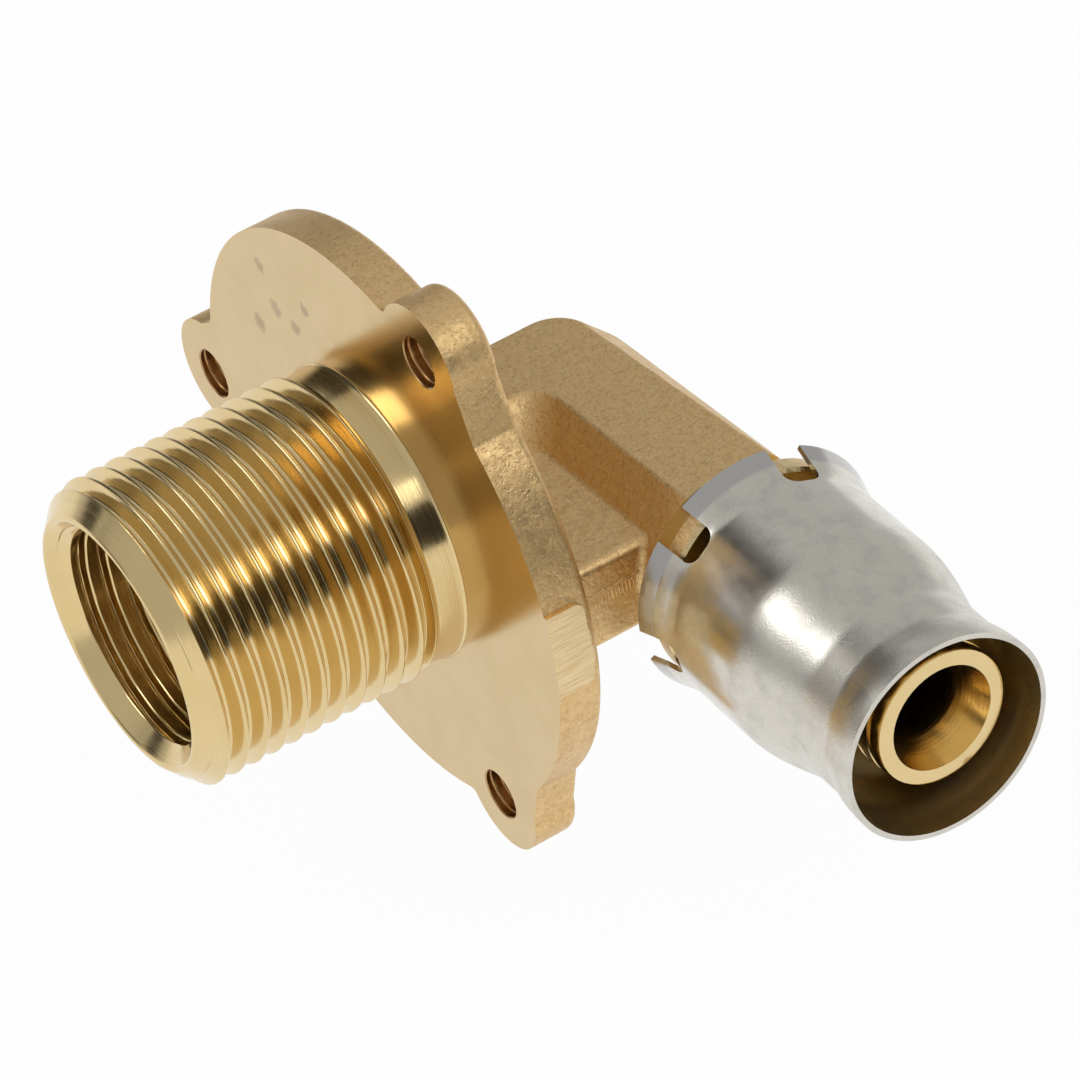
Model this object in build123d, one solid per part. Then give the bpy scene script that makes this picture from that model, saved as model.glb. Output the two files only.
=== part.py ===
from build123d import *
import math
import os

os.makedirs("parts", exist_ok=True)

# Brass wall-plate elbow: threaded spigot, three-eared flange, press end for 16 mm pipe. Millimetres.
# The origin is the middle of the flange's front face. The spigot points along -Y, the press arm along +X.

# Spigot: G 3/4 male thread outside, G 1/2 female thread with wide crests inside, both drawn as rings.
thread_pitch = 1.814
thread_root_land = 0.302
male_crest_r = 13.22
male_crest_land = 0.302
male_depth = 1.162
female_crest_r = 9.32
female_crest_land = 0.95
female_thread_depth = 0.8
spigot_len = 24.25
lead_len = 2.4
rim_outer_r = 11.1
rim_width = 0.3
female_thread_len = 15.0
female_depth = 17.0
neck_r = 12.5
neck_len = 2.4
run_out_len = 1.6
neck_fillet = 0.25

# Flange: a forged disc a little off the turned spigot, three ears and their tapped M5 holes.
flange_r = 25.2
flange_shift = 0.74
flange_t = 4.2
flange_back_round = 0.8
ear_pcd_r = 25.2
ear_r = 5.0
ear_hole_r = 2.15
ear_hole_chamfer = 0.1
side_ear_angle = 60.0
notch_round = 0.8
ear_bite = 6.2
side_skirt_rise = 2.6
side_skirt_half = 4.1
side_skirt_drop = 2.2
side_skirt_reach = 9.6
top_skirt_rise = 0.5
top_skirt_half = 4.9
top_skirt_drop = 3.0
top_skirt_reach = 7.0
skirt_root = 3.0
gate_x = 25.9
gate_z0 = -3.5
gate_z1 = 4.4
gate_t = 3.4
gate_round = 1.0

# Elbow block: a drafted barrel, flat above and below, bent through a right angle, with a web in the corner.
arm_y = 18.18
flat_z = 7.1
flat_half = 3.5
flat_round = 0.7
waist_half = 6.8
waist_z = 3.6
waist_round = 1.4
parting_half = 7.6
arm_end_x = 24.1
arm_spread = 1.2
outer_corner_r = 3.2
inner_corner_r = 4.0
web_x = 22.5
web_half = 4.0
web_round = 0.8
root_round = 0.9

# Press end: neck, collar and nipple, all turned on the arm's axis.
press_neck_r = 7.75
press_neck_lead = 0.3
press_root_len = 4.0
press_root_r = 6.7
collar_gap = 0.35
collar_x0 = 26.95
collar_x1 = 28.95
collar_chamfer = 0.3
nipple_r = 5.85
nipple_end_x = 51.5
nipple_end_round = 0.35
barb_groove_r = 5.4
barb_groove_width = 0.45
barb_flank = 0.1
barb_pitch = 1.6
barb_count = 2
o_ring_groove_floor_r = 4.6
o_ring_groove_width = 2.0
front_groove_back = 8.0
rear_groove_back = 14.0
o_ring_section_r = 0.7
o_ring_clearance = 0.02

# Waterway.
leg_bore_r = 4.5
socket_floor_len = 1.5
arm_bore_r = 3.3
nipple_mouth_r = 4.52
nipple_mouth_len = 4.0
drill_tip = 2.4

# Press sleeve: thin stainless sheet, flared at the rear round the collar, with six windows open at the rear.
sheet_t = 0.45
sleeve_rear_x = 27.2
rear_rise = 0.9
crease_x = 28.65
crease_rise = 0.45
body_start_x = 31.2
sleeve_body_r = 10.0
shoulder_x0 = 38.6
shoulder_x1 = 46.4
sleeve_neck_r = 8.57
flare_x = 49.0
sleeve_mouth_x = 53.1
sleeve_mouth_r = 9.03
sleeve_sag_y = -0.77
sleeve_sag_z = -0.49
window_count = 6
window_first_angle = 10.0
window_width = 3.2
window_front_x = 31.0
window_round = 1.2

# The sleeve's rear flares from its body, and the collar keeps its gap inside the sleeve's crease.
crease_r = sleeve_body_r + crease_rise
sleeve_rear_r = sleeve_body_r + rear_rise
collar_r = crease_r - sheet_t - collar_gap


def turned(points, about_arm):
    # A solid of revolution about the spigot's or the arm's axis, from (distance along it, radius) points.
    if about_arm:
        line = [(a, arm_y + r, 0) for a, r in points]
        axis = Axis((0, arm_y, 0), (1, 0, 0))
    else:
        line = [(r, a, 0) for a, r in points]
        axis = Axis((0, 0, 0), (0, 1, 0))
    return revolve(make_face(Polyline(*line, close=True)), axis)


def thread_outline(first, length, crest_r, depth, crest_land):
    # Points of a thread's section along -Y: one crest land and one root land in each pitch.
    flank = (thread_pitch - crest_land - thread_root_land) / 2
    points = [(first, crest_r)]
    for i in range(int(length / thread_pitch)):
        start = first - i * thread_pitch
        points.append((start - crest_land, crest_r))
        points.append((start - crest_land - flank, crest_r - depth))
        points.append((start - crest_land - flank - thread_root_land, crest_r - depth))
        points.append((start - thread_pitch, crest_r))
    return points


# Spigot. The threaded bar is cut by an envelope with the rim, the lead cone, the run-out and the neck.
thread_start = neck_len + run_out_len
thread_end = spigot_len + thread_pitch
male_outline = thread_outline(-thread_start, thread_end, male_crest_r, male_depth, male_crest_land)
male_outline = [(1.0, 0.0), (1.0, male_crest_r)] + male_outline + [(male_outline[-1][0], 0.0)]
envelope = turned(
    [
        (0.0, 0.0),
        (0.0, neck_r + neck_fillet),
        (-0.3 * neck_fillet, neck_r + 0.3 * neck_fillet),
        (-neck_fillet, neck_r),
        (-neck_len, neck_r),
        (-thread_start, male_crest_r + 0.2),
        (-spigot_len + lead_len, male_crest_r + 0.2),
        (-spigot_len, rim_outer_r),
        (-spigot_len, 0.0),
    ],
    False,
)
spigot = envelope & turned(male_outline, False)

# Flange, drawn on the wall plane with its normal along +Y.
wall = Plane(origin=(0, 0, 0), x_dir=(-1, 0, 0), z_dir=(0, 1, 0))
side_skirt = [(0.0, 0.0), (side_skirt_rise, side_skirt_half), (-side_skirt_drop, side_skirt_reach)]
side_skirt.append((-ear_bite, skirt_root))
top_skirt = [(0.0, 0.0), (top_skirt_rise, top_skirt_half), (-top_skirt_drop, top_skirt_reach)]
top_skirt.append((-ear_bite, skirt_root))
ears = ((180.0, top_skirt, (1, -1)), (side_ear_angle, side_skirt, (-1,)), (-side_ear_angle, side_skirt, (1,)))
outline = Pos(-flange_shift, 0) * Circle(flange_r)
holes = []
for angle, skirt, sides in ears:
    c = math.cos(math.radians(angle))
    s = math.sin(math.radians(angle))
    outline += Pos(-ear_pcd_r * c, ear_pcd_r * s) * Circle(ear_r)
    holes.append((ear_pcd_r * c, ear_pcd_r * s))
    for side in sides:
        local = [(ear_pcd_r + u, side * v) for u, v in skirt]
        outline += make_face(Polyline(*[(-(u * c - v * s), u * s + v * c) for u, v in local], close=True))
notches = [v for v in outline.vertices() if abs(math.hypot(v.X + flange_shift, v.Y) - flange_r) < 0.001]
outline = fillet(notches, notch_round)
flange = extrude(wall * outline, flange_t)
back_edges = [e for e in flange.edges() if e.center().Y > flange_t - 0.001]
flange = fillet(back_edges, flange_back_round)

# Elbow block. The same drafted section runs along the leg, round the corner and along the arm.


def barrel_section(spread):
    # Sketch across the barrel; the side of positive u can be wider by the spread.
    rim = [(flat_half + spread, flat_z), (waist_half + 0.3 * spread, waist_z), (parting_half, 0)]
    rim += [(u, -z) for u, z in reversed(rim[:2])]
    rim += [(-flat_half, -flat_z), (-waist_half, -waist_z), (-parting_half, 0)]
    rim += [(-waist_half, waist_z), (-flat_half, flat_z)]
    face = make_face(Polyline(*rim, close=True))
    waists = [v for v in face.vertices() if abs(abs(v.Y) - waist_z) < 0.001]
    return fillet(waists, waist_round)


turn = flat_half - outer_corner_r
leg = extrude(wall * barrel_section(0.0), arm_y + turn)
arm_start = Plane(origin=(-turn, arm_y, 0), x_dir=(0, 1, 0), z_dir=(1, 0, 0))
arm_end = Plane(origin=(arm_end_x, arm_y, 0), x_dir=(0, 1, 0), z_dir=(1, 0, 0))
arm = loft([arm_start * barrel_section(0.0), arm_end * barrel_section(arm_spread)], ruled=True)
half_plane = Pos(parting_half, 0) * Rectangle(2 * parting_half, 4 * flat_z)
half_section = Pos(-turn, 0) * barrel_section(0.0) & half_plane
corner_plane = Plane(origin=(-turn, arm_y + turn, 0), x_dir=(-1, 0, 0), z_dir=(0, 1, 0))
corner = revolve(corner_plane * half_section, Axis((-turn, arm_y + turn, 0), (0, 0, -1)), revolution_arc=90)
web_len = arm_y - flange_t / 2
web = Pos(web_x / 2, arm_y - web_len / 2, 0) * Box(web_x, web_len, 2 * web_half)
web_edges = [e for e in web.edges() if e.center().X > web_x - 0.001]
web_edges = [e for e in web_edges if abs(abs(e.center().Z) - web_half) < 0.001]
web = fillet(web_edges, web_round)
block = leg + arm + corner + web
mid_z = (web_half + flat_z) / 2
crook = [e for e in block.edges() if abs(abs(e.center().Z) - mid_z) < 0.3 and e.center().X > 0]
crook = [e for e in crook if e.center().X < parting_half and flange_t < e.center().Y < arm_y]
block = fillet(crook, inner_corner_r)
floor_edges = [e for e in block.edges() if abs(abs(e.center().Z) - web_half) < 0.001]
floor_edges = [e for e in floor_edges if flange_t < e.center().Y and e.center().X < web_x - web_round - 0.001]
block = fillet(floor_edges, root_round)
flat_edges = [e for e in block.edges() if abs(abs(e.center().Z) - flat_z) < 0.001]
flat_edges = [e for e in flat_edges if 0.001 < e.center().Y and e.center().X < arm_end_x - 0.001]
block = fillet(flat_edges, flat_round)
forging = flange + block
foot_edges = [e for e in forging.edges() if abs(e.center().Y - flange_t) < 0.001]
foot_edges = [e for e in foot_edges if abs(e.center().Z) < flat_z + 0.1]
foot_edges = [e for e in foot_edges if -flat_z - 1 < e.center().X < web_x + 0.1]
forging = fillet(foot_edges, root_round)
gate = Box(gate_x, gate_t, gate_z1 - gate_z0, align=(Align.MIN, Align.MIN, Align.CENTER))
gate = fillet(gate.edges().filter_by(Axis.X).group_by(Axis.Y)[-1], gate_round)
gate = Pos(0, 0, (gate_z0 + gate_z1) / 2) * gate

# Neck, collar and nipple, with barbs at the tip and two O-ring grooves.
front_groove_x = nipple_end_x - front_groove_back
rear_groove_x = nipple_end_x - rear_groove_back
tail = [(arm_end_x - press_root_len, 0.0), (arm_end_x - press_root_len, press_root_r)]
tail += [(arm_end_x - press_neck_lead, press_root_r), (arm_end_x, press_neck_r), (collar_x0, press_neck_r)]
tail += [(collar_x0, collar_r - collar_chamfer), (collar_x0 + collar_chamfer, collar_r)]
tail += [(collar_x1 - collar_chamfer, collar_r), (collar_x1, collar_r - collar_chamfer)]
tail += [(collar_x1, nipple_r)]
for x in (rear_groove_x, front_groove_x):
    tail += [(x, nipple_r), (x, o_ring_groove_floor_r)]
    tail += [(x + o_ring_groove_width, o_ring_groove_floor_r), (x + o_ring_groove_width, nipple_r)]
for i in range(barb_count, 0, -1):
    x = nipple_end_x - i * barb_pitch
    tail += [(x, nipple_r), (x + barb_flank, barb_groove_r)]
    tail += [(x + barb_groove_width - barb_flank, barb_groove_r)]
    tail += [(x + barb_groove_width, nipple_r)]
tail += [(nipple_end_x - nipple_end_round, nipple_r)]
tail += [(nipple_end_x - 0.3 * nipple_end_round, nipple_r - 0.3 * nipple_end_round)]
tail += [(nipple_end_x, nipple_r - nipple_end_round), (nipple_end_x, 0.0)]
press_end = turned(tail, True)

# Waterway and the tapped socket in the spigot.
rim_inner_r = rim_outer_r - rim_width
mouth_len = rim_inner_r - female_crest_r
socket_floor_y = -spigot_len + female_depth
socket = [(-spigot_len - 1.0, 0.0), (-spigot_len - 1.0, rim_inner_r + 1.0)]
socket += [(-spigot_len + mouth_len, female_crest_r), (socket_floor_y, female_crest_r)]
socket += [(socket_floor_y + socket_floor_len, leg_bore_r)]
socket += [(arm_y, leg_bore_r), (arm_y + drill_tip, 0.0)]
socket = turned(socket, False)
ridge_start = -spigot_len + female_thread_len
ridge_depth = -female_thread_depth
ridges = thread_outline(ridge_start, female_thread_len, female_crest_r, ridge_depth, female_crest_land)
ridges = [(ridges[0][0], 0.0)] + ridges + [(ridges[-1][0], 0.0)]
socket = socket + turned(ridges, False)
bore = [(0.0, 0.0), (0.0, arm_bore_r), (nipple_end_x - nipple_mouth_len, arm_bore_r)]
bore += [(nipple_end_x, nipple_mouth_r), (nipple_end_x + 1.0, nipple_mouth_r), (nipple_end_x + 1.0, 0.0)]
bore = turned(bore, True)
elbow_body = spigot + forging + gate + press_end - socket - bore
for x, z in holes:
    drill = [(-1.0, 0.0), (-1.0, ear_hole_r + ear_hole_chamfer + 1.0), (ear_hole_chamfer, ear_hole_r)]
    drill += [(flange_t + 1.0, ear_hole_r), (flange_t + 1.0, 0.0)]
    elbow_body = elbow_body - Pos(x, 0, z) * turned(drill, False)

# O-rings, round in section, sitting on their groove floors.
o_ring_mid_r = o_ring_groove_floor_r + o_ring_section_r + o_ring_clearance
o_rings = []
for x in (front_groove_x, rear_groove_x):
    place = Plane(origin=(x + o_ring_groove_width / 2, arm_y, 0), x_dir=(0, 1, 0), z_dir=(1, 0, 0))
    o_rings.append(place * Torus(o_ring_mid_r, o_ring_section_r))

# Press sleeve. Its outer line runs from the flared rear rim along the body, over the shoulder, to the mouth.
step = sleeve_body_r - sleeve_neck_r
flare = sleeve_mouth_r - sleeve_neck_r
shoulder_len = shoulder_x1 - shoulder_x0
rim_line = Line((sleeve_rear_x, sleeve_rear_r), (crease_x, crease_r))
taper_line = Spline(
    (crease_x, crease_r),
    (body_start_x, sleeve_body_r),
    tangents=((body_start_x - crease_x, 1.2 * (sleeve_body_r - crease_r)), (1.0, 0.0)),
)
body_line = Line((body_start_x, sleeve_body_r), (shoulder_x0, sleeve_body_r))
shoulder_line = Spline(
    (shoulder_x0, sleeve_body_r),
    (shoulder_x0 + 0.31 * shoulder_len, sleeve_body_r - 0.17 * step),
    (shoulder_x0 + 0.58 * shoulder_len, sleeve_body_r - 0.52 * step),
    (shoulder_x0 + 0.85 * shoulder_len, sleeve_body_r - 0.91 * step),
    (shoulder_x1, sleeve_neck_r),
    tangents=((1.0, 0.0), (1.0, 0.0)),
)
neck_line = Line((shoulder_x1, sleeve_neck_r), (flare_x, sleeve_neck_r))
flare_line = Spline(
    (flare_x, sleeve_neck_r),
    (flare_x + 0.42 * (sleeve_mouth_x - flare_x), sleeve_neck_r + 0.6 * flare),
    (sleeve_mouth_x, sleeve_mouth_r),
    tangents=((1.0, 0.0), (1.0, 0.0)),
)
outer_lines = [rim_line, taper_line, body_line, shoulder_line, neck_line, flare_line]
line_parts = [1, 6, 1, 8, 1, 6]


def inside_point(line, t):
    # The point a sheet's thickness below the outer line, square to it.
    p = line.position_at(t)
    d = line.tangent_at(t)
    return (p.X + sheet_t * d.Y, p.Y - sheet_t * d.X)


inner_lines = []
for line, parts in zip(outer_lines, line_parts):
    points = [inside_point(line, i / parts) for i in range(parts + 1)]
    if inner_lines and math.dist(points[0], tuple(inner_lines[-1].position_at(1))[:2]) > 0.01:
        inner_lines.append(Line(tuple(inner_lines[-1].position_at(1))[:2], points[0]))
    elif inner_lines:
        points[0] = tuple(inner_lines[-1].position_at(1))[:2]
    if parts == 1:
        inner_lines.append(Line(*points))
    else:
        ends = [tuple(line.tangent_at(t))[:2] for t in (0, 1)]
        inner_lines.append(Spline(*points, tangents=ends))
rear_edge = Line(tuple(inner_lines[0].position_at(0))[:2], (sleeve_rear_x, sleeve_rear_r))
mouth_edge = Line((sleeve_mouth_x, sleeve_mouth_r), tuple(inner_lines[-1].position_at(1))[:2])
sheet = make_face(outer_lines + [mouth_edge] + inner_lines + [rear_edge])
sleeve = revolve(sheet, Axis((0, 0, 0), (1, 0, 0)))
slot_len = window_front_x - sleeve_rear_x + 2.0
slot = Rectangle(slot_len, window_width)
slot = fillet(slot.vertices().group_by(Axis.X)[-1], window_round)
slot = Pos(window_front_x - slot_len / 2, 0, 0) * extrude(slot, 2 * sleeve_rear_r)
for i in range(window_count):
    angle = window_first_angle + i * 360 / window_count
    sleeve = sleeve - Rot(angle - 90, 0, 0) * slot

# The loose sleeve hangs a little off the arm's axis at its mouth, and swings about the collar.
swing_x = (collar_x0 + collar_x1) / 2
reach = sleeve_mouth_x - swing_x
sag = Rot(0, -math.degrees(math.atan2(sleeve_sag_z, reach)), math.degrees(math.atan2(sleeve_sag_y, reach)))
press_sleeve = Pos(swing_x, arm_y, 0) * sag * Pos(-swing_x, 0, 0) * sleeve

pieces = {
    "elbow_body": elbow_body,
    "press_sleeve": press_sleeve,
    "front_o_ring": o_rings[0],
    "rear_o_ring": o_rings[1],
}
for name, piece in pieces.items():
    solid = piece.solids()[0]
    solid.label = name
    export_step(solid, "parts/" + name + ".step")
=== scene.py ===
import math

import bmesh
import bpy
from mathutils import Matrix, Vector


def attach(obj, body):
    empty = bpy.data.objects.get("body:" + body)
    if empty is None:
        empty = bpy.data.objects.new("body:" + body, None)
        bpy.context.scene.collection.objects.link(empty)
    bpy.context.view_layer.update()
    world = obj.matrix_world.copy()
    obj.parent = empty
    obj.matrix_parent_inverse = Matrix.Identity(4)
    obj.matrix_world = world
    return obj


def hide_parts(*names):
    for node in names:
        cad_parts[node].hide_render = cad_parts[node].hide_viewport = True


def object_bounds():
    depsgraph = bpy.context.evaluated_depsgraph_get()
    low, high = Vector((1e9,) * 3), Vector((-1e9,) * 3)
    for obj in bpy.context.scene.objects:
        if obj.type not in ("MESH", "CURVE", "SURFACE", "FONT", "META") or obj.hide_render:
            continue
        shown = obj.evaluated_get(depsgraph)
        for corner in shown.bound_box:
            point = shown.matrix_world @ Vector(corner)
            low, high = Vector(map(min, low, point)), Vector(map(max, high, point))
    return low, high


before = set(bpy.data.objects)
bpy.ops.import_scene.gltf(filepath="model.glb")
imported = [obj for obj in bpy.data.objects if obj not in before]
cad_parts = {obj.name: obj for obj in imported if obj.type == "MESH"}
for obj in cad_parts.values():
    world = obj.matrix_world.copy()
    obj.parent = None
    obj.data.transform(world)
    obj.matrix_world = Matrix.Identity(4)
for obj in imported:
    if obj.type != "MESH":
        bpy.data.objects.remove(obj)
cad_low, cad_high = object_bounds()
MM = 0.001

# Forged body: one hot-forged brass piece with a three-eared flange, a bent block, a press neck and a nipple.
# It is shot-blasted all over, turned on the flange's front face and the press end, and ground at the gate.
SPIGOT_CUT_Y = -0.3 * MM
ARM_Y = 18.18 * MM
PRESS_END_X = 24.05 * MM
BORE_R = 4.6 * MM
COLLAR_FACE_R = 9.5 * MM
FLANGE_FACE_Y = 0.02 * MM
FLANGE_BACK_Y = 5 * MM
GATE_FACET_X = 25.85 * MM
GATE_FACET_Y = 4.0 * MM
EAR_PCD_R = 25.2 * MM
EAR_ANGLES = [math.radians(a) for a in (180, 60, -60)]
EAR_PLACES = [(EAR_PCD_R * math.cos(a), EAR_PCD_R * math.sin(a)) for a in EAR_ANGLES]
EAR_WALL_R = 2.3 * MM
FACING = 0.9
MERGE_DIST = 1e-6
FINE_DIST = 1e-7
FORGED_SHARP_DEG = 32.0
FLAT_WEIGHT = 100
RINGS_A_MM = 3.0
BRASS_TURNED = (0.65, 0.48, 0.24)
BRASS_TURNED_DEEP = (0.57, 0.41, 0.18)
BRASS_BRIGHT = (0.76, 0.59, 0.305)
BRASS_BRIGHT_DEEP = (0.7, 0.52, 0.24)
BRASS_GROUND = (0.86, 0.68, 0.4)
BRASS_TAPPED = (0.6, 0.38, 0.18)
BRASS_TAPPED_DARK = (0.4, 0.225, 0.09)
BRASS_BLASTED = (0.82, 0.58, 0.285)
BRASS_BLASTED_DARK = (0.6, 0.39, 0.16)
BRIGHT_TONES = (BRASS_BRIGHT, BRASS_BRIGHT_DEEP)
FLANGE_STAIN = (0.33, 0.25, 0.15)
# Stains on the flange's face: x and z in the frame, and radius, all in millimetres.
FLANGE_STAINS = [
    (-10.7, 14.5, 1.1),
    (-14.2, 11.2, 1.1),
    (-5.6, 17.0, 0.9),
    (-7.8, 14.1, 1.0),
    (-12.2, 18.0, 0.9),
]


class Wire:
    # A node socket for Python sums: each operator adds one Math node to the socket's own tree.
    def __init__(self, tree, socket=None):
        self.tree = tree
        self.socket = socket

    def node(self, kind, settings=None, sockets=None, out=0):
        # Adds a node, sets its properties and sockets, and gives back one of its outputs.
        made = self.tree.nodes.new(kind)
        for key, value in (settings or {}).items():
            if key == "items":
                for item in value:
                    made.capture_items.new(*item)
            else:
                setattr(made, key, value)
        for key, value in (sockets or {}).items():
            if isinstance(value, Wire):
                self.tree.links.new(value.socket, made.inputs[key])
            elif isinstance(value, tuple) and len(value) == 3 and made.inputs[key].type == "RGBA":
                made.inputs[key].default_value = (*value, 1.0)
            else:
                made.inputs[key].default_value = value
        return Wire(self.tree, made.outputs[out] if made.outputs else None)

    def other(self, out):
        # Another output of the same node.
        return Wire(self.tree, self.socket.node.outputs[out])

    def math(self, operation, a, b=0.0):
        return self.node("ShaderNodeMath", {"operation": operation}, {0: a, 1: b})

    def __add__(self, b):
        return self.math("ADD", self, b)

    def __radd__(self, b):
        return self.math("ADD", b, self)

    def __sub__(self, b):
        return self.math("SUBTRACT", self, b)

    def __rsub__(self, b):
        return self.math("SUBTRACT", b, self)

    def __mul__(self, b):
        return self.math("MULTIPLY", self, b)

    def __rmul__(self, b):
        return self.math("MULTIPLY", b, self)

    def __truediv__(self, b):
        return self.math("DIVIDE", self, b)

    def __pow__(self, b):
        return self.math("POWER", self, b)


def between(wire, low, high, to_low=0.0, to_high=1.0):
    # A soft step: to_low at low and below, to_high at high and above.
    settings = {"interpolation_type": "SMOOTHSTEP", "clamp": True}
    sockets = {"Value": wire, "From Min": low, "From Max": high, "To Min": to_low, "To Max": to_high}
    return wire.node("ShaderNodeMapRange", settings, sockets)


def tint(mask, under, over):
    # One colour over another, by a mask.
    settings = {"data_type": "RGBA", "blend_type": "MIX"}
    return mask.node("ShaderNodeMix", settings, {"Factor": mask, 6: under, 7: over}, out=2)


def noise(place, scale, detail=2.0, rough=0.5):
    # Soft grey patches from 0 to 1.
    sockets = {"Vector": place, "Scale": scale, "Detail": detail, "Roughness": rough}
    return place.node("ShaderNodeTexNoise", {}, sockets)


def cleared(owner):
    # The emptied node tree of a material or a world.
    owner.use_nodes = True
    owner.node_tree.nodes.clear()
    return Wire(owner.node_tree)


def new_finish(name):
    # A material with an empty tree, and the piece's own millimetres as the place to read patterns at.
    finish = bpy.data.materials.new(name)
    start = cleared(finish)
    place = start.node("ShaderNodeTexCoord", out="Object")
    place = start.node("ShaderNodeVectorMath", {"operation": "SCALE"}, {0: place, "Scale": 1 / MM})
    return finish, place


def close_finish(finish, place, metallic, colour, rough, skin=None):
    # Ends a material in one Principled shader, and gives the material back.
    sockets = {"Metallic": metallic, "Base Color": colour, "Roughness": rough}
    if skin:
        sockets["Normal"] = skin
    shader = place.node("ShaderNodeBsdfPrincipled", {}, sockets)
    place.node("ShaderNodeOutputMaterial", {}, {"Surface": shader})
    return finish


def bump(height, strength, distance, under=None):
    # Fine relief: a strength from 0 to 1, and the depth of a full step in metres.
    sockets = {"Height": height, "Strength": strength, "Distance": distance}
    if under:
        sockets["Normal"] = under
    return height.node("ShaderNodeBump", {}, sockets)


def blasted_brass(name):
    # Forged skin: shot-blast grain over a slightly lumpy surface, with darker pits and a few bright specks.
    finish, place = new_finish(name)
    grain = noise(place, scale=4.6, detail=3.0, rough=0.6)
    lumps = noise(place, scale=0.7, detail=3.0, rough=0.55)
    pits = between(noise(place, scale=2.1, detail=3.0, rough=0.6), 0.36, 0.5)
    specks = between(noise(place, scale=3.1, detail=2.0, rough=0.5), 0.64, 0.72)
    colour = tint(0.15 + 0.5 * between(grain, 0.25, 0.7) + 0.35 * pits, BRASS_BLASTED_DARK, BRASS_BLASTED)
    colour = tint(specks * 0.7, colour, BRASS_GROUND)
    rough = 0.36 + 0.14 * between(lumps, 0.3, 0.7) + 0.06 * grain - 0.14 * specks
    skin = bump(lumps, strength=0.6, distance=0.16 * MM)
    skin = bump(grain + 0.6 * pits, strength=0.52, distance=0.05 * MM, under=skin)
    return close_finish(finish, place, 1.0, colour, rough, skin)


def turned_brass(name, about_arm, stains=(), gloss=0.13, tones=(BRASS_TURNED, BRASS_TURNED_DEEP)):
    # Lathe-turned brass: fine rings about the axis it was turned on, with soft tarnish and any stains.
    finish, place = new_finish(name)
    parts = place.node("ShaderNodeSeparateXYZ", {}, {0: place})
    x, y, z = parts, parts.other(1), parts.other(2)
    if about_arm:
        along, across = x, y - ARM_Y / MM
    else:
        along, across = y, x
    radius = (across * across + z * z) ** 0.5
    ring_sockets = {0: radius * RINGS_A_MM, 1: along * RINGS_A_MM, 2: 0.0}
    ring_place = place.node("ShaderNodeCombineXYZ", {}, ring_sockets)
    rings = noise(ring_place, scale=1.6, detail=3.0, rough=0.65)
    broad = noise(place, scale=0.22, detail=3.0, rough=0.5)
    colour = tint(between(broad, 0.35, 0.7) * 0.3 + 0.3 * rings, *tones)
    rough = gloss + 0.04 * between(broad, 0.3, 0.7) + 0.08 * between(rings, 0.35, 0.7)
    if stains:
        ragged = noise(place, scale=1.5, detail=3.0, rough=0.6)
        mask = None
        for sx, sz, size in stains:
            dx, dz = x - sx, z - sz
            away = (dx * dx + dz * dz) ** 0.5 + (ragged - 0.5) * 1.6 * size
            spot = between(away, 0.35 * size, size, 1.0, 0.0)
            mask = spot if mask is None else mask.math("MAXIMUM", mask, spot)
        mask = mask * 0.55
        colour = tint(mask, colour, FLANGE_STAIN)
        rough = rough + 0.25 * mask
    skin = bump(rings, strength=0.3, distance=0.025 * MM)
    return close_finish(finish, place, 1.0, colour, rough, skin)


def ground_brass(name):
    # Ground flat on a belt: bright, with fine straight strokes across the facet.
    finish, place = new_finish(name)
    drawn_out = {"Vector": place, "Scale": (1.0, 0.25, 6.0)}
    strokes = place.node("ShaderNodeMapping", {"vector_type": "POINT"}, drawn_out)
    strokes = noise(strokes, scale=1.4, detail=3.0, rough=0.6)
    colour = tint(between(strokes, 0.3, 0.7), BRASS_TURNED, BRASS_GROUND)
    skin = bump(strokes, strength=0.35, distance=0.02 * MM)
    rough = 0.3 + 0.12 * strokes
    return close_finish(finish, place, 1.0, colour, rough, skin)


def tapped_brass(name):
    # The walls of the tapped holes, darker, redder and duller than the turned brass.
    finish, place = new_finish(name)
    colour = tint(noise(place, scale=1.2, detail=2.0, rough=0.5), BRASS_TAPPED_DARK, BRASS_TAPPED)
    rough = 0.24 + 0.1 * noise(place, scale=3.0)
    return close_finish(finish, place, 1.0, colour, rough)


def placed(name, data):
    # A new object in the scene, at the origin.
    piece = bpy.data.objects.new(name, data)
    bpy.context.scene.collection.objects.link(piece)
    return piece


def plain(piece):
    # Turns what the modifiers make into the piece's own mesh.
    shown = piece.evaluated_get(bpy.context.evaluated_depsgraph_get())
    made = bpy.data.meshes.new_from_object(shown)
    piece.modifiers.clear()
    piece.data = made
    made.name = piece.name
    return piece


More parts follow.
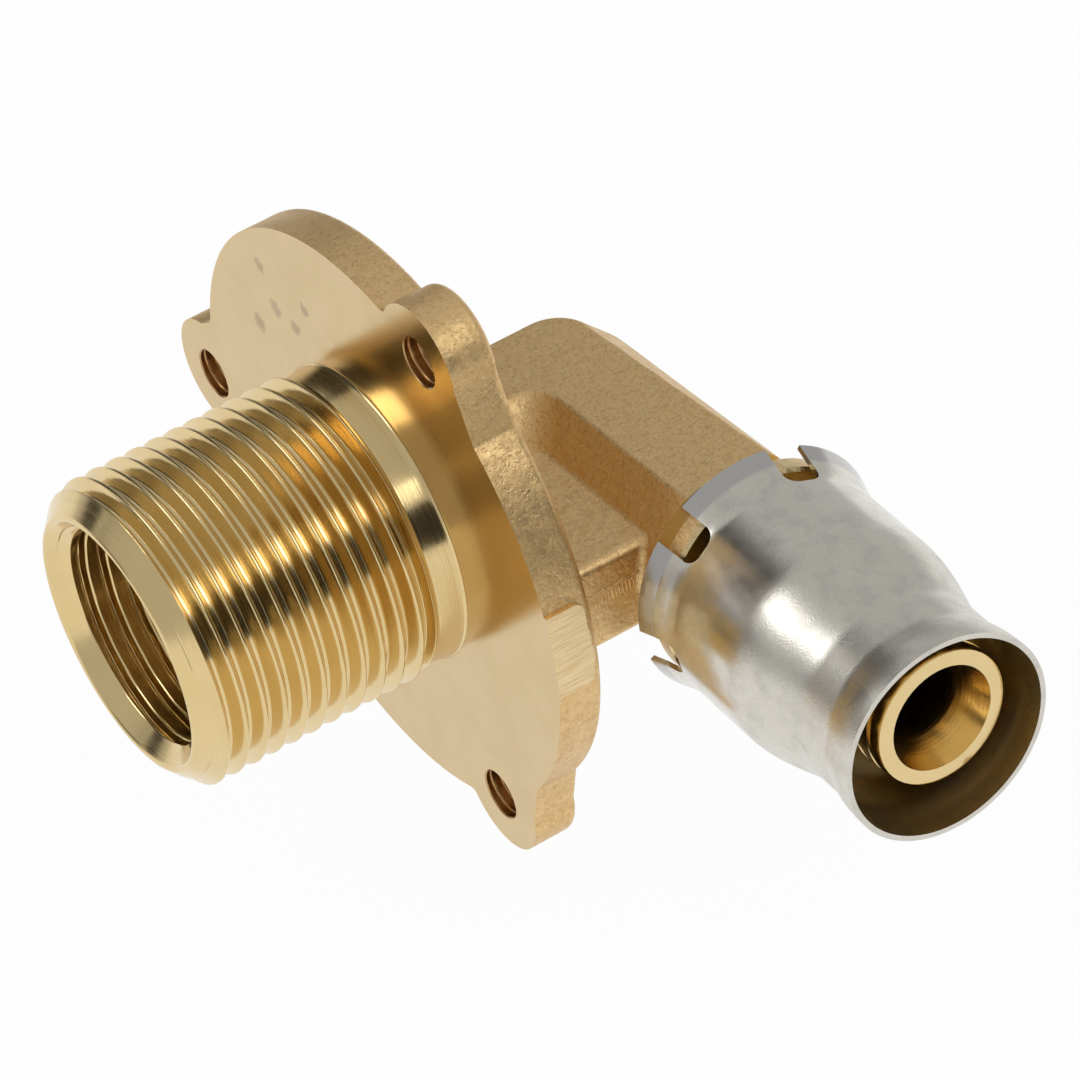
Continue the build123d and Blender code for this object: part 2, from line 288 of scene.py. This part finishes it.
def smooth_copy(name, node, sharp_deg, spigot_off=False, creased=None):
    # A merged copy of a CAD node, smooth but for edges sharper than the given angle; flats stay flat.
    work = bmesh.new()
    work.from_mesh(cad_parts[node].data)
    bmesh.ops.remove_doubles(work, verts=work.verts, dist=MERGE_DIST)
    if spigot_off:
        # The spigot is cut away, and the flange is closed from its opening to the bore.
        whole = work.verts[:] + work.edges[:] + work.faces[:]
        cut = {"plane_co": (0, SPIGOT_CUT_Y, 0), "plane_no": (0, -1, 0), "clear_outer": True}
        bmesh.ops.bisect_plane(work, geom=whole, dist=FINE_DIST, **cut)
        foot = []
        for face in work.faces:
            middle = face.calc_center_median()
            if middle.y < -MERGE_DIST and math.hypot(middle.x, middle.z) > 2 * BORE_R:
                foot.append(face)
        bmesh.ops.delete(work, geom=foot, context="FACES")
        rim = [e for e in work.edges if e.is_boundary]
        bmesh.ops.bridge_loops(work, edges=rim)
    for face in work.faces:
        face.smooth = True
    for edge in work.edges:
        edge.smooth = len(edge.link_faces) == 2 and edge.calc_face_angle() < math.radians(sharp_deg)
        if creased and creased(edge):
            edge.smooth = False
    mesh = bpy.data.meshes.new(name)
    work.to_mesh(mesh)
    work.free()
    piece = placed(name, mesh)
    weigh = piece.modifiers.new("flats", "WEIGHTED_NORMAL")
    weigh.keep_sharp = True
    weigh.weight = FLAT_WEIGHT
    return plain(piece)


BLASTED, FLANGE, PRESS_END, GROUND, TAPPED = range(5)
body = smooth_copy("brass_body", "elbow_body", FORGED_SHARP_DEG, spigot_off=True)
body.data.materials.clear()
for finish in (
    blasted_brass("blasted_brass"),
    turned_brass("turned_flange_brass", False, FLANGE_STAINS),
    turned_brass("turned_press_end_brass", True, tones=BRIGHT_TONES),
    ground_brass("ground_gate_brass"),
    tapped_brass("tapped_ear_brass"),
):
    body.data.materials.append(finish)
for face in body.data.polygons:
    middle, normal = face.center, face.normal
    arm_r = math.hypot(middle.y - ARM_Y, middle.z)
    leg_r = math.hypot(middle.x, middle.z)
    ear_r = min(math.hypot(middle.x - x, middle.z - z) for x, z in EAR_PLACES)
    if middle.y < FLANGE_FACE_Y and normal.y < -FACING:
        face.material_index = FLANGE
    elif middle.x > GATE_FACET_X and normal.x > FACING and middle.y < GATE_FACET_Y:
        face.material_index = GROUND
    elif arm_r > COLLAR_FACE_R and middle.x > PRESS_END_X and middle.y > FLANGE_BACK_Y:
        face.material_index = GROUND
    elif ear_r < EAR_WALL_R:
        face.material_index = TAPPED
    elif middle.x > PRESS_END_X or (arm_r < BORE_R and middle.x > 0):
        face.material_index = PRESS_END if middle.y > FLANGE_BACK_Y else BLASTED
    elif leg_r < BORE_R and middle.y < ARM_Y + BORE_R:
        face.material_index = FLANGE
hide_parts("elbow_body")
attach(body, "root")

# Threaded spigot: turned from the forging, with a G 3/4 thread outside and a G 1/2 thread inside its mouth.
# Both are right-handed with 14 threads to the inch, cut between the run-out by the flange and the lead cone.
# Points of its section are a radius and a distance along the axis. The neck's foot flares into the flange.
PITCH = 1.814
MALE_CREST_R = 13.22
MALE_DEPTH = 1.162
MALE_ROOT_SHARE = 0.167
MALE_CREST_SHARE = 0.12
MALE_PHASE = 0.37
MALE_BURR = 0.05
BURR_SHARE = 0.15
BURR_ROUND = 90.0
BURR_ALONG = 2.0
PHASE_LIFT = 100.0
CREST_CLEARANCE = 0.2
SOCKET_R = 9.32
SOCKET_WALL_R = 9.0
SOCKET_THREAD_DEPTH = 0.8
SOCKET_GROOVE_SHARE = 0.45
SOCKET_THREAD_LEN = 15.0
SOCKET_DEPTH = 17.0
SOCKET_FLOOR_LEN = 1.5
SOCKET_FLOOR_EDGE = 0.02
THREAD_FADE = 0.6
SPIGOT_LEN = 24.25
LEAD_LEN = 2.1
RIM_OUTER_R = 11.1
RIM_INNER_R = 10.8
RIM_DROP = 0.2
NECK_FOOT = [(13.12, 0.02), (13.03, -0.04), (12.97, -0.12), (12.93, -0.25)]
NECK_R = 12.5
NECK_LEN = 2.6
RUN_OUT_LEN = 0.5
LEG_BORE_R = 4.5
CORNER = 0.15
STEPS_A_PITCH = 36
SPIGOT_STEPS_ROUND = 144
NECK_STEP = 0.35
SOCKET_STEP = 0.5
SPIGOT_GLOSS = 0.12


def outline(name, points, edges):
    # A starting mesh of bare points and edges for a node tree.
    mesh = bpy.data.meshes.new(name)
    mesh.from_pydata(points, edges, [])
    return placed(name, mesh)


def spread(start, end, step):
    # Points from start up to but not including end, about one step apart.
    parts = max(1, round(math.dist(start, end) / step))
    return [tuple(p + (q - p) * i / parts for p, q in zip(start, end)) for i in range(parts)]


def new_tree(name, numbers, counts=()):
    # A geometry tree with geometry in and out, named numbers and counts, and a finish.
    tree = bpy.data.node_groups.new(name, "GeometryNodeTree")
    for way in ("INPUT", "OUTPUT"):
        tree.interface.new_socket("Geometry", in_out=way, socket_type="NodeSocketGeometry")
    kinds = [(key, "Float") for key in numbers] + [(key, "Int") for key in counts] + [("Finish", "Material")]
    for key, kind in kinds:
        tree.interface.new_socket(key, in_out="INPUT", socket_type="NodeSocket" + kind)
    start = Wire(tree)
    return tree, start, start.node("NodeGroupInput", out="Geometry")


def circle(start, steps, radius=1.0):
    # A closed curve round the origin, as a path or as the section of a ridge.
    sockets = {"Resolution": steps, "Radius": radius}
    return start.node("GeometryNodeCurvePrimitiveCircle", {"mode": "RADIUS"}, sockets)


def sweep(start, path, profile, capped):
    # The skin that a profile sweeps along a path.
    sockets = {"Curve": path, "Profile Curve": profile, "Fill Caps": capped}
    return start.node("GeometryNodeCurveToMesh", {}, sockets)


def close_tree(start, given, shape):
    # Ends a geometry tree: instances made real, then the finish.
    shape = start.node("GeometryNodeRealizeInstances", {}, {0: shape})
    shape = start.node("GeometryNodeSetMaterial", {}, {"Geometry": shape, "Material": given.other("Finish")})
    start.node("NodeGroupOutput", {}, {0: shape})


fine = PITCH / STEPS_A_PITCH
crest_clear_r = MALE_CREST_R + CREST_CLEARANCE
rim_middle_r = (RIM_OUTER_R + RIM_INNER_R) / 2
run_out_y = -NECK_LEN - RUN_OUT_LEN
lead_y = -SPIGOT_LEN + LEAD_LEN
rim_y = -SPIGOT_LEN + CORNER
edge_y = -SPIGOT_LEN + RIM_DROP * CORNER
mouth_y = -SPIGOT_LEN + (RIM_INNER_R - SOCKET_R)
thread_end_y = -SPIGOT_LEN + SOCKET_THREAD_LEN + THREAD_FADE
floor_y = -SPIGOT_LEN + SOCKET_DEPTH
bore_y = floor_y + SOCKET_FLOOR_LEN
section = NECK_FOOT[:-1]
section += spread(NECK_FOOT[-1], (NECK_R, -NECK_LEN), NECK_STEP)
section += spread((NECK_R, -NECK_LEN), (crest_clear_r, run_out_y), fine)
section += spread((crest_clear_r, run_out_y), (crest_clear_r, lead_y), fine)
section += spread((crest_clear_r, lead_y), (RIM_OUTER_R + CORNER, rim_y), fine)
section += [(RIM_OUTER_R + CORNER, rim_y), (RIM_OUTER_R, edge_y)]
section += [(rim_middle_r, -SPIGOT_LEN), (RIM_INNER_R, edge_y)]
section += spread((RIM_INNER_R - CORNER, rim_y), (SOCKET_R, mouth_y), 2 * fine)
section += spread((SOCKET_R, mouth_y), (SOCKET_R, thread_end_y), 2 * fine)
section += spread((SOCKET_R, thread_end_y), (SOCKET_R, floor_y - CORNER), SOCKET_STEP)
section += [(SOCKET_R, floor_y - CORNER), (SOCKET_R - CORNER, floor_y)]
section += [(LEG_BORE_R + CORNER, bore_y - SOCKET_FLOOR_EDGE), (LEG_BORE_R, bore_y + CORNER)]
section += [(LEG_BORE_R, SPIGOT_CUT_Y / MM)]

spigot_sizes = {
    "Pitch": PITCH,
    "Male depth": MALE_DEPTH,
    "Male root share": MALE_ROOT_SHARE,
    "Male crest share": MALE_CREST_SHARE,
    "Male burr": MALE_BURR,
    "Socket depth": SOCKET_THREAD_DEPTH,
    "Socket groove share": SOCKET_GROOVE_SHARE,
    "Male crest radius": MALE_CREST_R,
    "Socket radius": SOCKET_R,
    "Male thread start": -NECK_LEN,
    "Male phase": MALE_PHASE,
    "Socket thread start": -SPIGOT_LEN + SOCKET_THREAD_LEN,
}
tree, start, given = new_tree("screw_cutting", spigot_sizes, ["Steps round"])
steps_round = given.other("Steps round")
path = start.node(
    "GeometryNodeCaptureAttribute",
    {"domain": "POINT", "items": [("FLOAT", "Turn")]},
    {0: circle(start, steps_round), 1: start.node("GeometryNodeInputIndex") / steps_round},
)
turn = path.other(1)
profile = start.node("GeometryNodeMeshToCurve", {}, {0: given})
profile = start.node(
    "GeometryNodeCaptureAttribute",
    {"domain": "POINT", "items": [("VECTOR", "Place")]},
    {0: profile, 1: start.node("GeometryNodeInputPosition")},
)
place = start.node("ShaderNodeSeparateXYZ", {}, {0: profile.other(1)})
plain_r, along = place, place.other(1)
swept = sweep(start, path, profile, False)

# The male thread has straight flanks and a ragged burr on both edges of its crest. It fades out at the neck.
# The phase is kept above zero, so that its fraction runs the same way all along the spigot.
phase = along / given.other("Pitch") + turn + PHASE_LIFT
from_root = start.math("ABSOLUTE", 2.0 * start.math("FRACT", phase + given.other("Male phase")) - 1.0)
crest_edge = 1.0 - given.other("Male crest share")
flank = (crest_edge - from_root) / (crest_edge - given.other("Male root share"))
groove = start.node("ShaderNodeClamp", {}, {0: flank})
ragged = start.node("ShaderNodeCombineXYZ", {}, {0: turn * BURR_ROUND, 1: along * BURR_ALONG, 2: 0.0})
ragged = noise(ragged, scale=1.0, detail=3.0, rough=0.7)
edge_gap = start.math("ABSOLUTE", from_root - crest_edge)
edge = start.node("ShaderNodeClamp", {}, {0: 1.0 - edge_gap / BURR_SHARE})
sunk = given.other("Male depth") * groove + given.other("Male burr") * edge * (2.0 * ragged - 0.3)
male_start = given.other("Male thread start")
sunk = sunk * between(along, male_start - THREAD_FADE, male_start, 1.0, 0.0)
male_r = start.math("MINIMUM", plain_r, given.other("Male crest radius") - sunk)

# The socket's thread has wide crests, and fades out before the socket's floor.
socket_start = given.other("Socket thread start")
fade = between(along, socket_start, socket_start + THREAD_FADE, 1.0, 0.0)
from_root = start.math("ABSOLUTE", 2.0 * start.math("FRACT", phase) - 1.0)
groove = start.node("ShaderNodeClamp", {}, {0: 1.0 - from_root / given.other("Socket groove share")})
socket_r = given.other("Socket radius") + given.other("Socket depth") * groove * fade
socket_r = start.math("MAXIMUM", plain_r, socket_r)
outside = start.math("GREATER_THAN", plain_r, rim_middle_r)
threaded_wall = start.math("GREATER_THAN", plain_r, SOCKET_WALL_R)
inner_r = plain_r + (socket_r - plain_r) * threaded_wall
cut_r = (inner_r + (male_r - inner_r) * outside) * MM
angle = turn * (2 * math.pi)
spun = start.node(
    "ShaderNodeCombineXYZ",
    {},
    {0: cut_r * start.math("COSINE", angle), 1: along * MM, 2: cut_r * start.math("SINE", angle)},
)
cut = start.node("GeometryNodeSetPosition", {}, {"Geometry": swept, "Position": spun})
close_tree(start, given, cut)


def grow(name, piece, tree, sizes):
    # Runs a node tree on a starting mesh and keeps the plain mesh that it makes, merged and facing outwards.
    modifier = piece.modifiers.new(name, "NODES")
    modifier.node_group = tree
    for item in tree.interface.items_tree:
        if item.in_out == "INPUT" and item.name in sizes:
            modifier[item.identifier] = sizes[item.name]
    piece.name = name
    piece = plain(piece)
    work = bmesh.new()
    work.from_mesh(piece.data)
    bmesh.ops.remove_doubles(work, verts=work.verts, dist=FINE_DIST)
    bmesh.ops.recalc_face_normals(work, faces=work.faces)
    for face in work.faces:
        face.smooth = True
    work.to_mesh(piece.data)
    work.free()
    return piece


spigot_finish = turned_brass("turned_spigot_brass", False, gloss=SPIGOT_GLOSS, tones=BRIGHT_TONES)
spigot_inputs = {**spigot_sizes, "Steps round": SPIGOT_STEPS_ROUND, "Finish": spigot_finish}
spigot_edges = [(i, (i + 1) % len(section)) for i in range(len(section))]
spigot_line = outline("line", [(r, a, 0.0) for r, a in section], spigot_edges)
spigot = grow("threaded_spigot", spigot_line, tree, spigot_inputs)
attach(spigot, "root")

# Tapped ear threads: an M5 thread cut through each of the flange's three ears.
# Only its ridges show, winding down the drilled hole, so they are made as a coil sunk into the wall.
EAR_HOLE_R = 2.15
EAR_PITCH = 0.8
EAR_RIDGE = 0.2
EAR_RIDGE_SIDES = 4
EAR_DEPTH = 3.9
EAR_SINK = 0.18
EAR_TURN_STEPS = 40

ear_sizes = {"Hole radius": EAR_HOLE_R, "Pitch": EAR_PITCH, "Ridge": EAR_RIDGE, "Depth": EAR_DEPTH}
tree, start, given = new_tree("ear_tapping", ear_sizes)
coil = start.node(
    "GeometryNodeCurveSpiral",
    {},
    {
        "Resolution": EAR_TURN_STEPS,
        "Rotations": given.other("Depth") / given.other("Pitch"),
        "Start Radius": given.other("Hole radius"),
        "End Radius": given.other("Hole radius"),
        "Height": given.other("Depth"),
    },
)
coil = sweep(start, coil, circle(start, EAR_RIDGE_SIDES, given.other("Ridge")), True)
coil = start.node(
    "GeometryNodeTransform",
    {},
    {
        "Geometry": coil,
        "Translation": (0.0, EAR_SINK * MM, 0.0),
        "Rotation": (-math.pi / 2, 0.0, 0.0),
        "Scale": (MM, MM, MM),
    },
)
coils = start.node("GeometryNodeInstanceOnPoints", {}, {"Points": given, "Instance": coil})
close_tree(start, given, coils)

ear_points = outline("ear_points", [(x, 0, z) for x, z in EAR_PLACES], [])
ear_inputs = {**ear_sizes, "Finish": body.data.materials[TAPPED]}
ear_threads = grow("ear_threads", ear_points, tree, ear_inputs)
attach(ear_threads, "root")

# Flash trim: the flash was sheared off across the web's end, and left a ragged lip over a row of teeth.
# The lip wanders a little, and the teeth below it are uneven.
TRIM_X = 22.5
TRIM_Y = (4.9, 11.2)
TRIM_LIP_Z = (1.2, 1.45)
TRIM_LIP_R = 0.13
TRIM_LIP_STEPS = 48
TRIM_LIP_SIDES = 8
TRIM_WANDER = 0.5
TRIM_TEETH = 20
TRIM_TOOTH = (0.11, 0.12, 0.75)
TRIM_TOOTH_LEAST = 0.6
TRIM_TOOTH_DROP = 0.72
TRIM_TOOTH_BACK = 0.03
TRIM_SEED = 4

trim_sizes = {"Lip radius": TRIM_LIP_R, "Tooth drop": TRIM_TOOTH_DROP}
tree, start, given = new_tree("flash_trim", trim_sizes, ["Teeth"])
lip = start.node("GeometryNodeMeshToCurve", {}, {0: given})
lip = start.node("GeometryNodeResampleCurve", {"mode": "COUNT"}, {"Curve": lip, "Count": TRIM_LIP_STEPS})
wander = noise(start.node("GeometryNodeInputPosition"), scale=1.4, detail=2.0, rough=0.6) - 0.5
wander = start.node("ShaderNodeCombineXYZ", {}, {0: 0.0, 1: 0.0, 2: wander * TRIM_WANDER})
lip = start.node("GeometryNodeSetPosition", {}, {"Geometry": lip, "Offset": wander})
lip_skin = sweep(start, lip, circle(start, TRIM_LIP_SIDES, given.other("Lip radius")), True)
counted = {"Curve": lip, "Count": given.other("Teeth")}
spots = start.node("GeometryNodeCurveToPoints", {"mode": "COUNT"}, counted)
below = 0.0 - given.other("Tooth drop")
drop = start.node("ShaderNodeCombineXYZ", {}, {0: -TRIM_TOOTH_BACK, 1: 0.0, 2: below})
spots = start.node("GeometryNodeSetPosition", {}, {"Geometry": spots, "Offset": drop})
ball = start.node("GeometryNodeMeshUVSphere", {}, {"Segments": 10, "Rings": 8, "Radius": 1.0})
tooth_least = tuple(TRIM_TOOTH_LEAST * v for v in TRIM_TOOTH)
tooth_range = {"Min": tooth_least, "Max": TRIM_TOOTH, "Seed": TRIM_SEED}
size = start.node("FunctionNodeRandomValue", {"data_type": "FLOAT_VECTOR"}, tooth_range)
teeth = start.node("GeometryNodeInstanceOnPoints", {}, {"Points": spots, "Instance": ball, "Scale": size})
both = start.node("GeometryNodeJoinGeometry", {}, {0: lip_skin})
tree.links.new(teeth.socket, both.socket.node.inputs[0])
both = start.node("GeometryNodeTransform", {}, {"Geometry": both, "Scale": (MM, MM, MM)})
close_tree(start, given, both)

trim_line = outline("trim_line", [(TRIM_X, y, z) for y, z in zip(TRIM_Y, TRIM_LIP_Z)], [(0, 1)])
trim_inputs = {**trim_sizes, "Teeth": TRIM_TEETH, "Finish": body.data.materials[BLASTED]}
trim = grow("flash_trim", trim_line, tree, trim_inputs)
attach(trim, "root")

# O-rings: two black rubber rings round the nipple, hidden under the sleeve.
# They are moulded, a little glossy, and sit in their turned grooves.
SEAL_BLACK = (0.012, 0.012, 0.013)
SEAL_BLOOM = (0.03, 0.029, 0.028)


def seal_rubber(name):
    # Moulded rubber with a faint grey bloom.
    finish, place = new_finish(name)
    bloom = noise(place, scale=2.5, detail=2.0, rough=0.5)
    skin = bump(noise(place, scale=12.0, detail=2.0, rough=0.5), strength=0.2, distance=0.02 * MM)
    colour = tint(between(bloom, 0.4, 0.7), SEAL_BLACK, SEAL_BLOOM)
    return close_finish(finish, place, 0.0, colour, 0.42 + 0.1 * bloom, skin)


rubber = seal_rubber("seal_rubber")
for node in ("front_o_ring", "rear_o_ring"):
    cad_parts[node].data.materials.clear()
    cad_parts[node].data.materials.append(rubber)

# Press sleeve: thin drawn stainless sheet, flared at the rear, with six windows, a shoulder and a mouth.
# A press tool closes it on the pipe. Until then it is loose, and hangs a little off the arm's axis.
STEEL_PALE = (0.69, 0.66, 0.59)
STEEL_DULL = (0.46, 0.44, 0.4)
# The inside's warm brass colour on steel is painted light and a painted reflection of the brass inside the
# sleeve.
STEEL_INSIDE_PAINTED_REFLECTION = (0.85, 0.68, 0.36)
STEEL_RIM_PAINTED_SHADE = (0.5, 0.49, 0.47)
SLEEVE_SHARP_DEG = 12.0
SLEEVE_SWING_X = 27.95
SLEEVE_MOUTH_X = 53.1
SLEEVE_SAG = (-0.77, -0.49)
SLEEVE_CREASE_X = 28.65
SLEEVE_GRAIN_X = (37.0, 41.0)
RIM_FADE = (0.1, 0.3)
CREASE_NEAR = 0.03
INWARD = -0.5


def along_sleeve(place):
    # Millimetres along the sleeve's own axis, from the frame's origin.
    parts = place.node("ShaderNodeSeparateXYZ", {}, {0: place})
    run = SLEEVE_MOUTH_X - SLEEVE_SWING_X
    full = math.hypot(run, *SLEEVE_SAG)
    along = (parts - SLEEVE_SWING_X) * (run / full) + (parts.other(1) - ARM_Y / MM) * (SLEEVE_SAG[0] / full)
    return along + parts.other(2) * (SLEEVE_SAG[1] / full) + SLEEVE_SWING_X


def drawn_stainless(name):
    # Drawn sheet: a polished rear rim with painted shade, a satin body with cloudy tooling marks, a grainy
    # shoulder and neck.
    finish, place = new_finish(name)
    along = along_sleeve(place)
    rim = between(along, SLEEVE_CREASE_X - RIM_FADE[0], SLEEVE_CREASE_X + RIM_FADE[1], 1.0, 0.0)
    stretched = between(along, *SLEEVE_GRAIN_X)
    clouds = noise(place, scale=0.5, detail=4.0, rough=0.62)
    waves = noise(place, scale=0.22, detail=2.0, rough=0.5)
    grain = noise(place, scale=7.0, detail=3.0, rough=0.6)
    colour = tint(0.35 * between(clouds, 0.42, 0.7) + 0.25 * between(grain, 0.3, 0.7), STEEL_PALE, STEEL_DULL)
    # The rear rim is painted a darker grey: painted shade for the dark band that the rim mirrors.
    colour = tint(rim, colour, STEEL_RIM_PAINTED_SHADE)
    rough = 0.17 + 0.05 * between(clouds, 0.38, 0.66) + 0.09 * stretched - 0.07 * rim
    skin = bump(waves, strength=0.04, distance=0.04 * MM)
    skin = bump(grain * (0.25 + 0.75 * stretched), strength=0.5, distance=0.03 * MM, under=skin)
    return close_finish(finish, place, 1.0, colour, rough, skin)


def sleeve_inside_painted_reflection(name):
    # The inside of the sheet, smooth and dull, with a warm brass colour: painted light and a painted
    # reflection of the brass inside it.
    finish, place = new_finish(name)
    clouds = noise(place, scale=0.3, detail=3.0, rough=0.5)
    colour = tint(0.5 * between(clouds, 0.35, 0.7), STEEL_INSIDE_PAINTED_REFLECTION, STEEL_DULL)
    skin = bump(noise(place, scale=6.0, detail=2.0, rough=0.5), strength=0.15, distance=0.02 * MM)
    rough = 0.3 + 0.06 * clouds
    return close_finish(finish, place, 1.0, colour, rough, skin)


def on_crease(edge):
    # True for an edge of the sheet that lies on the line between the rear rim and the body.
    run = Vector((SLEEVE_MOUTH_X - SLEEVE_SWING_X, *SLEEVE_SAG)).normalized()
    swing = Vector((SLEEVE_SWING_X, ARM_Y / MM, 0.0))
    away = [(v.co / MM - swing).dot(run) + SLEEVE_SWING_X - SLEEVE_CREASE_X for v in edge.verts]
    return max(abs(a) for a in away) < CREASE_NEAR


OUTER, INNER = range(2)
sleeve = smooth_copy("sleeve", "press_sleeve", SLEEVE_SHARP_DEG, creased=on_crease)
sleeve.data.materials.clear()
sleeve.data.materials.append(drawn_stainless("drawn_stainless"))
sleeve.data.materials.append(sleeve_inside_painted_reflection("sleeve_inside_painted_reflection"))
for face in sleeve.data.polygons:
    outward = Vector((0, face.center.y - ARM_Y, face.center.z)).normalized()
    face.material_index = INNER if face.normal.dot(outward) < INWARD else OUTER
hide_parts("press_sleeve")
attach(sleeve, "root")

# Studio: a pale floor under the lowest ear, two soft boxes, cards that the metal mirrors, and the camera.
# To the camera the floor and the world are white, and the floor keeps the shadow.
# In reflections the floor stays white, and the world is grey.
FLOOR_HALF = 3.0
FLOOR_GAP = 0.02 * MM
FLOOR_PALE = (0.8, 0.8, 0.8)
WHITE = (1.0, 1.0, 1.0)
FLOOR_WHITE_SHARE = 0.97


def white_to_the_eye(start):
    # 1 for camera, glossy and transmission rays, else 0.
    rays = start.node("ShaderNodeLightPath", out="Is Camera Ray")
    seen = start.math("MAXIMUM", rays, rays.other("Is Glossy Ray"))
    return start.math("MAXIMUM", seen, rays.other("Is Transmission Ray"))


def flat_card(name, middle, across, up):
    # A flat rectangle from its middle and its two half sides.
    mesh = bpy.data.meshes.new(name)
    corners = [middle - across - up, middle + across - up, middle + across + up, middle - across + up]
    mesh.from_pydata(corners, [], [(0, 1, 2, 3)])
    card = placed(name, mesh)
    return card


floor_z = cad_low.z - FLOOR_GAP
floor = flat_card("floor", Vector((0, 0, floor_z)), Vector((FLOOR_HALF, 0, 0)), Vector((0, FLOOR_HALF, 0)))
floor_paint = bpy.data.materials.new("floor_paint")
start = cleared(floor_paint)
painted = start.node("ShaderNodeBsdfDiffuse", {}, {"Color": FLOOR_PALE})
lit = start.node("ShaderNodeEmission", {}, {"Color": WHITE, "Strength": 1.0})
whiteness = white_to_the_eye(start) * FLOOR_WHITE_SHARE
mixed = start.node("ShaderNodeMixShader", {}, {0: whiteness, 1: painted, 2: lit})
start.node("ShaderNodeOutputMaterial", {}, {"Surface": mixed})
floor.data.materials.append(floor_paint)

WORLD_LEVEL = 0.5
WORLD_MIRRORED = 0.58
world = bpy.data.worlds.new("studio")
bpy.context.scene.world = world
start = cleared(world)
rays = start.node("ShaderNodeLightPath", out="Is Camera Ray")
mirrored = start.math("MAXIMUM", rays.other("Is Glossy Ray"), rays.other("Is Transmission Ray"))
level = WORLD_LEVEL + (1.0 - WORLD_LEVEL) * rays + (WORLD_MIRRORED - WORLD_LEVEL) * mirrored
sky = start.node("ShaderNodeBackground", {}, {"Color": WHITE, "Strength": level})
start.node("ShaderNodeOutputWorld", {}, {"Surface": sky})

STUDIO_MIDDLE = Vector((0.014, 0.0, 0.0))


def toward(azimuth, elevation):
    # Direction from the object, azimuth from -Y towards +X, in degrees.
    a, e = math.radians(azimuth), math.radians(elevation)
    return Vector((math.sin(a) * math.cos(e), -math.cos(a) * math.cos(e), math.sin(e)))


# Soft boxes: azimuth, elevation, distance, width and height in metres, and power in watts.
for azimuth, elevation, distance, width, height, power in (
    (116, 45, 0.42, 0.3, 0.11, 0.26),
    (-27, 45, 0.45, 0.2, 0.15, 0.31),
):
    lamp = bpy.data.lights.new("soft_box", "AREA")
    lamp.shape = "RECTANGLE"
    lamp.size = width
    lamp.size_y = height
    lamp.energy = power
    box = placed("soft_box", lamp)
    way = toward(azimuth, elevation)
    box.location = STUDIO_MIDDLE + way * distance
    box.rotation_euler = way.to_track_quat("Z", "Y").to_euler()

# Cards, seen only in reflections: azimuth, elevation, distance, half width and height in metres, and shade.
for azimuth, elevation, distance, half_width, half_height, shade in (
    (-70, 28, 0.5, 0.19, 0.2, 0.06),
    (112, 17, 0.5, 0.4, 0.155, 0.03),
    (-112, 14, 0.5, 0.14, 0.18, 0.32),
    (-33, 10, 0.5, 0.1, 0.07, 0.25),
):
    card_paint = bpy.data.materials.new("card_paint")
    start = cleared(card_paint)
    shaded = start.node("ShaderNodeEmission", {}, {"Color": WHITE, "Strength": shade})
    start.node("ShaderNodeOutputMaterial", {}, {"Surface": shaded})
    way = toward(azimuth, elevation)
    side = way.cross(Vector((0, 0, 1))).normalized()
    middle = STUDIO_MIDDLE + way * distance
    card = flat_card("dark_card", middle, side * half_width, way.cross(side) * half_height)
    card.data.materials.append(card_paint)
    card.visible_camera = False
    card.visible_diffuse = False
    card.visible_shadow = False

# Camera: its place in metres, its three axes and its lens in millimetres.
CAMERA_PLACE = (0.35105, -0.16756, 0.29661)
CAMERA_RIGHT = (0.54832879, 0.82464315, -0.13892162)
CAMERA_UP = (-0.45584013, 0.4340093, 0.7770751)
CAMERA_BACK = (0.70110293, -0.3627666, 0.61388523)
CAMERA_SENSOR = 36.0
CAMERA_LENS = 204.535
CAMERA_CLIP = (0.01, 20.0)
lens = bpy.data.cameras.new("camera")
lens.sensor_width = CAMERA_SENSOR
lens.lens = CAMERA_LENS
lens.clip_start, lens.clip_end = CAMERA_CLIP
camera = placed("camera", lens)
turned = Matrix((CAMERA_RIGHT, CAMERA_UP, CAMERA_BACK)).transposed().to_4x4()
camera.matrix_world = Matrix.Translation(CAMERA_PLACE) @ turned
bpy.context.scene.camera = camera
bpy.context.scene.view_settings.view_transform = "Standard"
